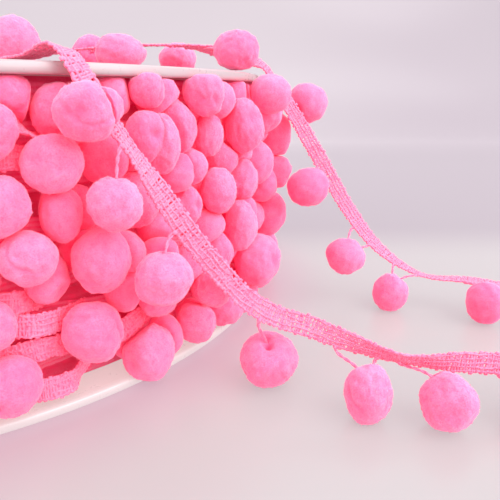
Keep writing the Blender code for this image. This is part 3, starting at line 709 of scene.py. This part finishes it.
def first_places():
    """Rows of the roll's pompoms before they settle: x y z, radius, yield and farthest reach."""
    placed = []
    for azimuth, height, reach, radius in STANDING_OUT:
        place = on_roll(math.radians(azimuth), reach * MILLIMETRE, height * MILLIMETRE)
        placed.append((*place, radius * MILLIMETRE, HELD_YIELD,
                       max(reach * MILLIMETRE, FARTHEST_REACH)))
    standing = np.array(placed)[:, :3]
    count = round(360 / ROW_PITCH)
    for row, height in enumerate(ROW_HEIGHTS):
        for i in range(count):
            angle = 2 * math.pi * (i + 0.5 * (row % 2)) / count
            wander = math.sin(2.4 * i + 1.9 * row)
            reach = FARTHEST_REACH - REACH_DRIFT * (0.5 + 0.5 * math.sin(5.1 * i + 2.3 * row))
            place = on_roll(angle, reach, height + ROW_DRIFT * wander)
            if nearest_gap(standing, place) > ROOM_BESIDE:
                radius = POMPOM_RADIUS - 0.0005 * (1.0 + math.sin(3.7 * i + 1.3 * row))
                placed.append((*place, radius, 1.0, FARTHEST_REACH))
    return np.array(placed)


def wound_pompoms():
    """Centres and radii of the pompoms on the roll."""
    placed = first_places()
    route = Route(FOLDS)
    band = [route.at(d) + route.frame(d)[2] * offset for d in np.arange(0.0, route.length, 0.0015)
            for offset in (-0.0015, 0.0015)]
    loose = loose_balls(route)
    points = np.array(band + [centre for _, centre, _, _, _ in loose])
    radii = np.array([0.0016] * len(band) + [radius for _, _, radius, _, _ in loose])
    balls = settle(placed[:, :3], placed[:, 3], placed[:, 4], placed[:, 5], points, radii)
    sizes = placed[:, 3]
    between = np.linalg.norm(balls[:, None] - balls[None], axis=2) + np.eye(len(balls))
    squeeze = (between - POMPOM_GAP) / (sizes[:, None] + sizes[None, :])
    off_loose = (np.linalg.norm(balls[:, None] - points[None], axis=2) - radii).min(axis=1)
    return balls, np.minimum(sizes * np.minimum(squeeze.min(axis=1), 1.0), off_loose - GAP)


# ---------------------------------------------------------------- pompoms
def ripple(points, frequency, waves):
    """Smooth random swell from -1 to 1 over points."""
    ways = unit(rng.normal(size=(waves, 3))) * frequency * rng.uniform(0.75, 1.25, (waves, 1))
    phases = rng.uniform(0, 2 * math.pi, waves)
    return np.sin(points @ ways.T + phases).sum(axis=1) / math.sqrt(waves)


def master_pompoms(level, count, fuzz):
    """Lumpy unit balls of cut pile: soft tufts, shallow creases, uneven tips."""
    build = bmesh.new()
    bmesh.ops.create_icosphere(build, subdivisions=level, radius=1.0)
    round_points = np.array([vert.co for vert in build.verts])
    faces = np.array([[vert.index for vert in face.verts] for face in build.faces])
    build.free()
    masters = []
    for _ in range(count):
        swell = 1.0 + 0.042 * ripple(round_points, 2.2, 5) + 0.031 * ripple(round_points, 5.0, 8)
        part = ripple(round_points, 2.6, 4)
        crease = np.exp(-(part / 0.16) ** 2) * np.clip(ripple(round_points, 2.0, 3), 0.0, 1.0)
        tufts = ripple(round_points, 11.0, 9)
        swell += 0.019 * tufts + 0.009 * ripple(round_points, 19.0, 9) - 0.055 * crease
        swell += fuzz * rng.normal(size=len(round_points))
        # Painted shade in the creases and between the tufts.
        painted_shade = 0.55 * crease + 0.12 * np.clip(-tufts, 0.0, 1.0)
        masters.append((round_points * swell[:, None], painted_shade))
    return masters, faces


def flatten(points, centre, way, reach):
    """Press points back from a plane that stands at a reach from the centre."""
    stands = (points - centre) @ way
    over = (stands - reach) / CONTACT_SOFTNESS
    pressed = reach - CONTACT_SOFTNESS * np.logaddexp(0.0, -over)
    return points + np.where(over > -6.0, pressed - stands, 0.0)[:, None] * way


def pile_ball(master, form, stretch, planes, discs):
    """One pompom, pressed flat on each plane (way, reach) that it touches.

    The reel's discs press only the pile inside their rims. Also gives the painted shade at each
    point: how much darker the colour is where a yarn, a navel or a crease dents the pile.
    """
    turn = Quaternion(unit(rng.normal(size=4))).to_matrix()
    points, painted_shade = master
    centre = form.centre
    points = points @ np.array(turn).T * stretch * form.radius + centre
    for way, depth, spread in form.dents:
        lean = np.arccos(np.clip(unit(points - centre) @ way, -1.0, 1.0))
        share = np.exp(-(lean / spread) ** 2)
        points = points - way * (depth * share)[:, None]
        painted_shade = np.maximum(painted_shade, share * min(0.8, 0.4 * depth / MILLIMETRE))
    for way, reach in planes:
        points = flatten(points, centre, way, reach)
    for way, reach in discs:
        outside = (np.hypot(points[:, 0], points[:, 1]) - REEL_RADIUS - GAP) / RIM_FADE
        inside = flatten(points, centre, way, reach)
        over_rim = flatten(points, centre, way, reach + OVER_RIM)
        points = inside + (over_rim - inside) * np.clip(outside, 0.0, 1.0)[:, None]
    return points, painted_shade


def loose_fibres(points, centre, count):
    """Single cut fibres that stand out of a pompom: thin three-sided spikes."""
    roots = points[rng.integers(0, len(points), count)]
    ways = unit(unit(roots - centre) + rng.normal(scale=0.45, size=(count, 3)))
    side = unit(np.cross(ways, rng.normal(size=(count, 3))))
    turns = 2 * math.pi * np.arange(3) / 3
    around = (side[:, None] * np.cos(turns)[:, None]
              + np.cross(ways, side)[:, None] * np.sin(turns)[:, None])
    foot = roots[:, None] - ways[:, None] * 0.00012 + around * FIBRE_HALF_WIDTH
    tip = roots + ways * rng.uniform(*FIBRE_REACH, (count, 1))
    spikes = np.concatenate([foot, tip[:, None]], axis=1).reshape(-1, 3)
    first = 4 * np.arange(count)[:, None, None]
    faces = first + np.array([[0, 1, 3], [1, 2, 3], [2, 0, 3]])
    return spikes, faces.reshape(-1, 3)


def contact_planes(index, centres, radii, layers, band):
    """Where a pompom meets its neighbours and the tape. An outer layer doesn't give way."""
    centre, radius = centres[index], radii[index]
    planes = []
    apart = centres - centre
    far = np.linalg.norm(apart, axis=1)
    for other in np.nonzero((far > 1e-6) & (far < radius + radii + CONTACT_RANGE))[0]:
        if layers[other] > layers[index]:
            continue
        reach = (far[other] ** 2 + radius ** 2 - radii[other] ** 2) / (2 * far[other])
        overlap = max(radius + radii[other] - far[other], 0.0)
        ahead = math.hypot(*centre[:2]) - math.hypot(*centres[other][:2])
        reach += min(max(0.5 * ahead, -0.5 * overlap), 0.5 * overlap)
        if layers[other] < layers[index]:
            reach = max(far[other] - 0.9 * radii[other], 0.15 * radius)
        planes.append((apart[other] / far[other], reach - CONTACT_GAP))
    off = band - centre
    far = np.linalg.norm(off, axis=1)
    nearest = far.argmin()
    if far[nearest] < radius + TAPE_RANGE:
        planes.append((off[nearest] / far[nearest],
                       max(far[nearest] - TAPE_ROOM, 0.6 * radius)))
    return planes


def dressed_loose(route):
    """The loose pompoms where their piles lie, each with its span, number and pile."""
    placed = []
    counts = {}
    for span, centre, radius, leaves, rests in loose_balls(route):
        number = counts.get(span, 0)
        counts[span] = number + 1
        pile = Pile(*LOOSE_PILES[span].get(number, PLAIN_PILE))
        leaves = LEAVING.get((span, number), leaves)
        centre = centre + np.array((pile.aside, 0.0, pile.up)) * MILLIMETRE
        if rests is not None:
            centre[2] = rests + radius * pile.high + 0.0001
        placed.append((span, number, centre, radius, leaves, rests, pile))
    return placed


Form = namedtuple("Form", "centre radius piece master spread layer dents planes pile",
                  defaults=([], [], PLAIN_PILE))


def wound_forms(fine, plain):
    """The roll's outer layer. Each pompom has a navel, some a very shallow one."""
    forms = []
    for number, (centre, radius) in enumerate(zip(*wound_pompoms())):
        if number in LEFT_OUT:
            continue
        pile = Pile(*WOUND_PILES.get(number, PLAIN_PILE))
        outward = unit(centre * (1.0, 1.0, 0.0))
        centre = centre + (np.array((pile.aside, 0.0, pile.up)) + outward * pile.out) * MILLIMETRE
        azimuth = math.degrees(math.atan2(centre[1], centre[0]))
        if FRONT_AZIMUTHS[0] < azimuth < FRONT_AZIMUTHS[1]:
            name = "pompoms_wound_front_" + ("left" if azimuth < -38.0 else "right")
        else:
            name = f"pompoms_wound_{min(int((azimuth + 180.0) // 90.0), 3)}"
        navel = (unit(outward + rng.normal(scale=0.45, size=3)),
                 max(rng.uniform(-0.0009, 0.0010), 0.0), rng.uniform(0.26, 0.42))
        master = fine if FRONT_AZIMUTHS[0] < azimuth < FINE_TO_AZIMUTH else plain
        forms.append(Form(centre, radius + SOFT_SWELL, name, master, 0.06, 1, [navel], [], pile))
    return forms


def loose_forms(route, drops, fine, plain):
    """The loose length's pompoms, dented where their yarns enter."""
    forms = []
    for own, (span, number, centre, radius, _, rests, pile) in zip(drops, dressed_loose(route)):
        dents = [(unit(path[-1] - centre), YARN_DENT, 0.18) for path in own]
        if number in NAVELS.get(span, {}):
            *way, depth, spread = NAVELS[span][number]
            dents.append((unit(np.array(way)), depth * MILLIMETRE, spread))
        planes = [] if rests is None else [(-UP, centre[2] - rests)]
        seen_close = span.startswith("fringe_front") or span == "fringe_top"
        forms.append(Form(centre, radius + LOOSE_SWELL, span + "_pompoms",
                          fine if seen_close else plain, 0.025, 1, dents, planes, pile))
    forms.append(Form(np.array(LOBE_MIDDLE) * MILLIMETRE, LOBE_RADIUS * MILLIMETRE,
                      "fringe_front_fall_pompoms", plain, 0.02, 1))
    return forms


def deeper_forms(outer, tape, plain, coarse):
    """Pompoms of the layer below, seen in the gaps of the outer layer and clear of the tape."""
    forms = [Form(on_roll(math.radians(azimuth), reach, height) * MILLIMETRE,
                  radius * MILLIMETRE, "pompoms_wound_deeper", plain, 0.05, 2)
             for azimuth, height, reach, radius in DEEPER]
    kept = [form.centre for form in forms]
    for reach, last in DEEPER_REACHES:
        for row, height in enumerate(np.arange(*DEEPER_HEIGHTS)):
            for column in range(DEEPER_COLUMNS):
                azimuth = (2 * math.pi * (column + 0.5 * (row % 2)) / DEEPER_COLUMNS
                           + FRONT_START)
                if azimuth > FRONT_START + math.radians(last):
                    break
                centre = on_roll(azimuth, reach,
                                 height + 0.0012 * math.sin(1.7 * column + row))
                if all(nearest_gap(np.asarray(near), centre) > room
                       for near, room in zip((outer, tape, kept), DEEPER_ROOM)):
                    kept.append(centre)
                    forms.append(Form(centre, DEEPER_RADIUS, "pompoms_wound_deeper", coarse,
                                      0.05, 2))
    return forms


def tape_points(route, offsets):
    """Rows of points along a tape, at offsets across it in mm."""
    middle, _, edge, _ = route.frame(np.arange(0.0, route.length, 0.0008))
    return [middle + edge * offset * MILLIMETRE for offset in offsets]


def dress_pompoms(route, loops, drops, material):
    """All pompoms: the roll's outer layer, its deeper layer and the loose length's."""
    fine, plain, coarse = (master_pompoms(5, 9, 0.0100), master_pompoms(4, 7, 0.0070),
                           master_pompoms(3, 5, 0.0))
    forms = wound_forms(fine, plain)
    outer = np.array([form.centre for form in forms])
    forms += loose_forms(route, drops, fine, plain)
    laid = np.concatenate([row for loop in loops
                           for row in tape_points(loop, (-2.4, -1.2, 0.0, 1.2, 2.4))])
    forms += deeper_forms(outer, laid, plain, coarse)
    band = np.concatenate(tape_points(route, (-2.2, -1.1, 0.0, 1.1, 2.2)) + [laid])
    centres = np.array([form.centre for form in forms])
    reaches = np.array([form.radius * max(form.pile.wide, form.pile.high) for form in forms])
    layers = [form.layer for form in forms]
    heaps = {}
    for index, form in enumerate(forms):
        planes = form.planes + contact_planes(index, centres, reaches, layers, band)
        stretch = 1.0 + np.clip(rng.normal(scale=form.spread, size=3), -0.12, 0.12)
        stretch = stretch * (form.pile.wide, form.pile.wide, form.pile.high)
        discs = []
        if form.piece.startswith("pompoms_wound"):
            stretch = stretch * (0.98, 0.98, 1.05)
            discs = [(-UP, form.centre[2] - FLANGE_THICKNESS + 0.0001),
                     (UP, REEL_HEIGHT - FLANGE_THICKNESS - form.centre[2])]
        masters, faces = form.master
        ball, painted_shade = pile_ball(masters[index % len(masters)], form, stretch, planes, discs)
        # Painted shade: every pompom but the front's loose ones is darkened a little, by a
        # different amount each.
        if not form.piece.startswith("fringe_front"):
            painted_shade = painted_shade + 0.09 + 0.10 * math.sin(2.1 * index)
        heap = heaps.setdefault(form.piece, Heap())
        heap.add(ball, faces, painted_shade)
        if form.layer == 1:
            heap.add(*loose_fibres(ball, form.centre,
                                   FIBRES_CLOSE if form.master is fine else FIBRES_FAR))
    return {name: heap.piece(name, material) for name, heap in heaps.items()}


# ---------------------------------------------------------------- drop yarns
def drop_path(route, leaves, centre, radius):
    """A yarn that runs from the looped edge into a pompom's pile."""
    middle, _, edge, _ = route.frame(leaves)
    start = middle + edge * (0.5 * BAND_WIDTH - 0.0006)
    above = 0.8 if start[2] > centre[2] + 0.6 * radius else 0.1
    way_in = unit(unit(start - centre) + above * UP)
    entry = centre + way_in * 0.62 * radius
    reach = np.linalg.norm(entry - start)
    first = start + edge * 0.35 * reach
    last = entry + way_in * (0.38 * radius + 0.20 * reach)
    t = np.linspace(0.0, 1.0, 24)[:, None]
    return (start * (1 - t) ** 3 + 3 * first * (1 - t) ** 2 * t + 3 * last * (1 - t) * t ** 2
            + entry * t ** 3)


def drop_paths(route):
    """Each loose pompom's yarns: the one it hangs by, and for some the one that runs back."""
    paths = []
    for span, number, centre, radius, leaves, _, _ in dressed_loose(route):
        places = [min(max(leaves, MILLIMETRE), route.length - MILLIMETRE)]
        if (span, number) in RUNNING_BACK:
            places.append(RUNNING_BACK[span, number])
        paths.append([drop_path(route, place, centre, radius) for place in places])
    return paths


def dress_drops(drops, spans, material):
    """Two strands twisted round each other, with a knot where they leave the tape."""
    heaps = {}
    knot, knot_faces = master_pompoms(2, 1, 0.0)
    for own, span in zip(drops, spans):
        heap = heaps.setdefault(span + "_yarns", Heap())
        for path in own:
            ahead = unit(np.gradient(path, axis=0))
            side = unit(np.cross(ahead, UP + 0.01))
            other = np.cross(ahead, side)
            steps = np.linalg.norm(np.diff(path, axis=0), axis=1)
            reach = np.concatenate(([0.0], np.cumsum(steps)))
            turns = 2 * math.pi * reach / STRAND_TURN
            for half in (0.0, math.pi):
                spread = 0.00016 + 0.00022 * np.exp(-reach / 0.0012)
                strand = path + (side * np.cos(turns + half)[:, None]
                                 + other * np.sin(turns + half)[:, None]) * spread[:, None]
                add_tube(heap, strand, side, STRAND_RADIUS, STRAND_RADIUS, 6)
            heap.add(knot[0][0] * KNOT_RADIUS + path[1], knot_faces)
    return {name: heap.piece(name, material) for name, heap in heaps.items()}


# ---------------------------------------------------------------- the loose tape
def weft_places(length):
    """Distance of each pass of the weft: close groups with a small opening between them."""
    places = []
    distance = 0.0004
    while distance < length - 0.0004:
        places.append(distance)
        distance += WEFT_PITCH
        if len(places) % WEFTS_IN_A_GROUP == 0:
            distance += GROUP_OPENING
    return np.array(places)


def add_weft(heap, route):
    """One yarn that runs to and fro across the tape and loops past both edges."""
    places = weft_places(route.length)
    inside = 0.5 * BAND_WIDTH - 0.00045
    offsets, distances, lifts = [], [], []
    for number, place in enumerate(places):
        sense = 1.0 if number % 2 == 0 else -1.0
        loop = 0.00026 * (number % WEFTS_IN_A_GROUP == 1) + rng.uniform(0.00002, 0.00018)
        slip = rng.normal(scale=0.00007, size=2)
        for step, share in enumerate((-1.0, -0.6, -0.2, 0.2, 0.6, 1.0)):
            offsets.append(sense * share * inside)
            distances.append(place + slip[0] * (1.0 - share) + slip[1] * (1.0 + share))
            lifts.append((1.0 if (step + number) % 2 else -1.0) * 0.00008)
        for share in (0.2, 0.8):
            offsets.append(sense * (inside + loop))
            distances.append(place + share * WEFT_PITCH)
            lifts.append(0.00014 * math.sin(number * 2.1))
    middle, _, edge, face = route.frame(np.array(distances))
    path = middle + edge * np.array(offsets)[:, None] + face * np.array(lifts)[:, None]
    add_tube(heap, path, face, *WEFT_HALVES, 4)


def add_ribs(heap, route):
    """Five chain-stitched ribs that bind the weft."""
    stitch = 2 * WEFT_PITCH
    rings = int(route.length / stitch * 3)
    distances = np.linspace(0.0003, route.length - 0.0003, rings)
    middle, _, edge, face = route.frame(distances)
    phase = 2 * math.pi * distances / stitch
    for number, offset in enumerate(RIB_OFFSETS):
        swing = (0.00006 * np.sin(0.5 * phase + number)
                 + 0.00013 * np.sin(phase / 11.0 + 2 * number)
                 + 0.00009 * np.sin(phase / 5.3 + 5 * number))
        path = middle + edge * (offset * MILLIMETRE + swing)[:, None]
        swell = (1.0 + 0.26 * np.cos(phase + 1.7 * number) + 0.10 * np.sin(phase / 7.7 + number)
                 + rng.normal(scale=0.08, size=rings))
        add_tube(heap, path, face, *(half * swell for half in RIB_HALVES), 4)


def add_ground(heap, route):
    """The close ground of the tape, between its stitches."""
    middle, _, edge, _ = route.frame(np.arange(0.0, route.length, 0.0006))
    shares = np.linspace(-0.46, 0.46, 4) * BAND_WIDTH
    points = middle[:, None] + edge[:, None] * shares[:, None]
    heap.add(points.reshape(-1, 3), grid_faces(len(middle), 4, False))


def dress_tape(route, loops, material):
    """The loose tape and its ribs, and the wound tape's loops."""
    weft, ribs, looped = Heap(), Heap(), Heap()
    add_weft(weft, route)
    add_ribs(ribs, route)
    for loop in loops:
        add_ground(looped, loop)
        add_weft(looped, loop)
        add_ribs(looped, loop)
    return (weft.piece("loose_tape", material), ribs.piece("loose_tape_ribs", material),
            looped.piece("wound_tape_loops", material))


# ---------------------------------------------------------------- the roll's wound tape
def wound_turn(number, height, azimuths):
    """Grid of one turn of tape, wavy as it rides over the pompoms below."""
    angle = np.radians(azimuths)[:, None]
    arc = angle * DRUM_RADIUS
    seed = 1.7 * number
    wander = 0.0011 * np.sin(3.0 * angle + seed) + 0.0007 * np.sin(8.0 * angle + 2 * seed)
    bulge = 0.0013 * np.sin(11.0 * angle + seed) + 0.0010 * np.sin(23.0 * angle + 3 * seed)
    lean = 0.30 * np.sin(9.0 * angle + seed) + 0.15 * np.sin(21.0 * angle)
    half = 0.5 * BAND_WIDTH * (1.0 + 0.05 * np.sin(arc / 0.0011 * math.pi)
                               + 0.04 * np.sin(arc / 0.0047 * math.pi))
    shares = np.linspace(-1.0, 1.0, TURN_COLUMNS)
    rib = np.cos(shares * 2 * math.pi * RIB_WAVES) * 0.00013
    weft = np.sin(arc / WEFT_PITCH * math.pi) * 0.00009 * (1.0 - np.abs(shares))
    reach = TURN_REACH + bulge + lean * shares * half + rib + weft
    points = spread_out(reach * np.cos(angle), reach * np.sin(angle),
                        height + wander + shares * half)
    return points, spread_out(shares * 2.5, arc / MILLIMETRE)


def dress_wound_tape(material, shaded):
    """Turns of tape between the rows of pompoms, and the close-wound wall behind them in the
    tape's copy with painted shade.
    """
    pieces = []
    start, end = FRONT_AZIMUTHS
    for name, first, last, step in (("wound_tape_front", start, end, 0.6),
                                    ("wound_tape_rear", end, 360.0 + start, 1.25)):
        azimuths = np.append(np.arange(first, last, step), last)
        turns = [wound_turn(number, height, azimuths)
                 for number, height in enumerate(WOUND_TURNS)]
        points, flats = (np.concatenate([grid.reshape(-1, grid.shape[-1]) for grid in grids])
                         for grids in zip(*turns))
        count = len(azimuths) * TURN_COLUMNS
        faces = np.concatenate([grid_faces(len(azimuths), TURN_COLUMNS, False) + number * count
                                for number in range(len(turns))])
        pieces.append(piece(name, points, faces, material, flats))
    rows = np.linspace(FLANGE_THICKNESS, REEL_HEIGHT - FLANGE_THICKNESS, 6 * WALL_TURNS + 1)
    rows = rows[:, None]
    azimuths = np.radians(np.arange(0.0, 360.0 + 1e-6, 3.0))
    share = (rows - rows[0]) / (rows[-1] - rows[0])
    turn = 0.0009 * np.abs(np.sin(share * WALL_TURNS * math.pi))
    reach = WALL_REACH + turn + 0.0004 * np.sin(7.0 * azimuths)
    points = spread_out(reach * np.cos(azimuths), reach * np.sin(azimuths), rows)
    flat = spread_out(rows / BAND_WIDTH * 5.0, azimuths * 101.0)
    faces = grid_faces(len(rows), len(azimuths), False)[:, ::-1]
    pieces.append(piece("wound_tape_wall", points.reshape(-1, 3), faces, shaded,
                        flat.reshape(-1, 2)))
    return pieces


# ---------------------------------------------------------------- the reel
def dress_flange(name, outline, material):
    """A moulded disc turned from its outline of (radius, height)."""
    sides = DISC_SIDES
    turns = np.arange(sides) * 2 * math.pi / sides
    outline = np.array(outline)
    rings = spread_out(outline[:, :1] * np.cos(turns), outline[:, :1] * np.sin(turns),
                       outline[:, 1:])
    faces = grid_faces(len(outline), sides, True).tolist()
    first = list(range(sides))[::-1]
    last = [(len(outline) - 1) * sides + i for i in range(sides)]
    made = piece(name, rings.reshape(-1, 3), faces + [first, last], material)
    for polygon in made.data.polygons[-2:]:
        polygon.use_smooth = False
    return made


def rim_outline(foot, inner_side_up):
    """Flat outside, a fine round rim, and a shallow lip on the side that holds the tape."""
    top = foot + FLANGE_THICKNESS
    outer = REEL_RADIUS + (WIDER_BELOW if inner_side_up else 0.0)
    under = 0.0002 if inner_side_up else 0.0
    full, lip = FLANGE_THICKNESS, FLANGE_THICKNESS - LIP_DEPTH
    edge = ((0.0030, 0.0), (under + 0.0007, 0.0), (under + 0.0003, 0.00012),
            (0.85 * under + 0.0001, 0.0005), (0.2 * under, 0.0012), (0.0, full - 0.0007),
            (0.0001, full - 0.00032), (0.00035, full - 0.00009), (0.0007, full),
            (0.0016, full), (0.0020, full - 0.5 * LIP_DEPTH), (0.0024, lip))
    profile = [(outer - inward, height) for inward, height in edge]
    profile = [(MIDDLE_FACE, 0.0)] + profile + [(MIDDLE_FACE, lip)]
    if inner_side_up:
        return [(radius, foot + height) for radius, height in profile]
    return [(radius, foot + full - height) for radius, height in reversed(profile)]


# ---------------------------------------------------------------- floor, light, camera
def light(name, place, aim, size, energy, colour):
    lamp = bpy.data.lights.new(name, "AREA")
    lamp.size = size
    lamp.energy = energy
    lamp.color = colour
    made = bpy.data.objects.new(name, lamp)
    made.location = place
    made.rotation_euler = (Vector(aim) - Vector(place)).to_track_quat("-Z", "Y").to_euler()
    bpy.context.scene.collection.objects.link(made)


def studio():
    across = np.linspace(-2.5, 2.5, 3)
    bend = [(0.55 + 0.25 * math.sin(t), 0.25 - 0.25 * math.cos(t))
            for t in np.linspace(0.0, 0.5 * math.pi, 16)]
    line = [(-2.5, 0.0), (-0.5, 0.0), (0.0, 0.0), (0.3, 0.0)] + bend + [(0.80, 2.0)]
    points = [(x, y, z) for y, z in line for x in across]
    table = piece("table", points, grid_faces(len(line), len(across), False), studio_paper())
    light("key", (0.62, -0.38, 0.50), (0.08, -0.05, 0.03), 0.8, 8.2, (1.0, 0.97, 0.98))
    light("left_fill", (-0.55, -0.55, 0.45), (0.0, -0.05, 0.03), 0.8, 2.1, (1.0, 0.97, 1.0))
    light("back", (0.25, 0.75, 0.80), (0.05, 0.0, 0.04), 0.9, 4.0, (1.0, 1.0, 1.0))
    world = bpy.data.worlds.new("soft_room")
    world.use_nodes = True
    background = world.node_tree.nodes["Background"]
    background.inputs["Color"].default_value = (1.0, 0.965, 0.975, 1.0)
    background.inputs["Strength"].default_value = 1.56
    bpy.context.scene.world = world
    bpy.context.scene.view_settings.view_transform = "Standard"
    camera = bpy.data.cameras.new("camera")
    camera.lens = 36.0
    camera.sensor_width = 36.0
    camera.clip_start = 0.005
    made = bpy.data.objects.new("camera", camera)
    made.location = (0.1067, -0.1808, 0.0663)
    made.rotation_euler = (math.radians(90.0 - 17.39), 0.0, 0.0)
    bpy.context.scene.collection.objects.link(made)
    bpy.context.scene.camera = made


# ---------------------------------------------------------------- dressing
def dress():
    yarn, spun, plastic = pompom_yarn(), spun_yarn(), gloss_plastic()
    # The tape comes lit, with double painted glow, and as a copy with painted shade for the wall:
    # darker pinks and less painted glow.
    tape = trim_tape("trim_tape", TAPE_DEEP, TAPE_PINK, TAPE_PALE, 2.0 * PAINTED_GLOW_STRENGTH)
    shaded = trim_tape("trim_tape_shaded", PAINTED_SHADE_PINK, TAPE_DEEP, TAPE_DEEP, PAINTED_GLOW_STRENGTH)
    route = Route(FOLDS, TWIST)
    loops = loop_routes()
    drops = drop_paths(route)
    spans = [ball[0] for ball in loose_balls(route)]
    pompoms = dress_pompoms(route, loops, drops, yarn)
    yarns = dress_drops(drops, spans, spun)
    weft, ribs, looped = dress_tape(route, loops, spun)
    wound = dress_wound_tape(tape, shaded) + [looped]
    bottom = dress_flange("flange_bottom", rim_outline(0.0, True), plastic)
    top = dress_flange("flange_top", rim_outline(REEL_HEIGHT - FLANGE_THICKNESS, False), plastic)

    pieces = [(made, "pompom_yarn", "wound_trim" if name.startswith("pompoms_wound")
               else name.removesuffix("_pompoms")) for name, made in pompoms.items()]
    pieces += [(made, "trim_tape", name.removesuffix("_yarns")) for name, made in yarns.items()]
    pieces += [(weft, "trim_tape", "loose_band"), (ribs, "trim_tape", "loose_band"),
               (bottom, "reel_plastic", "reel_bottom_flange"),
               (top, "reel_plastic", "reel_top_flange")]
    pieces += [(made, "trim_tape", "wound_trim") for made in wound]
    for made, slot, node in pieces:
        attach(made, "root")
        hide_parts(node)


dress()
studio()
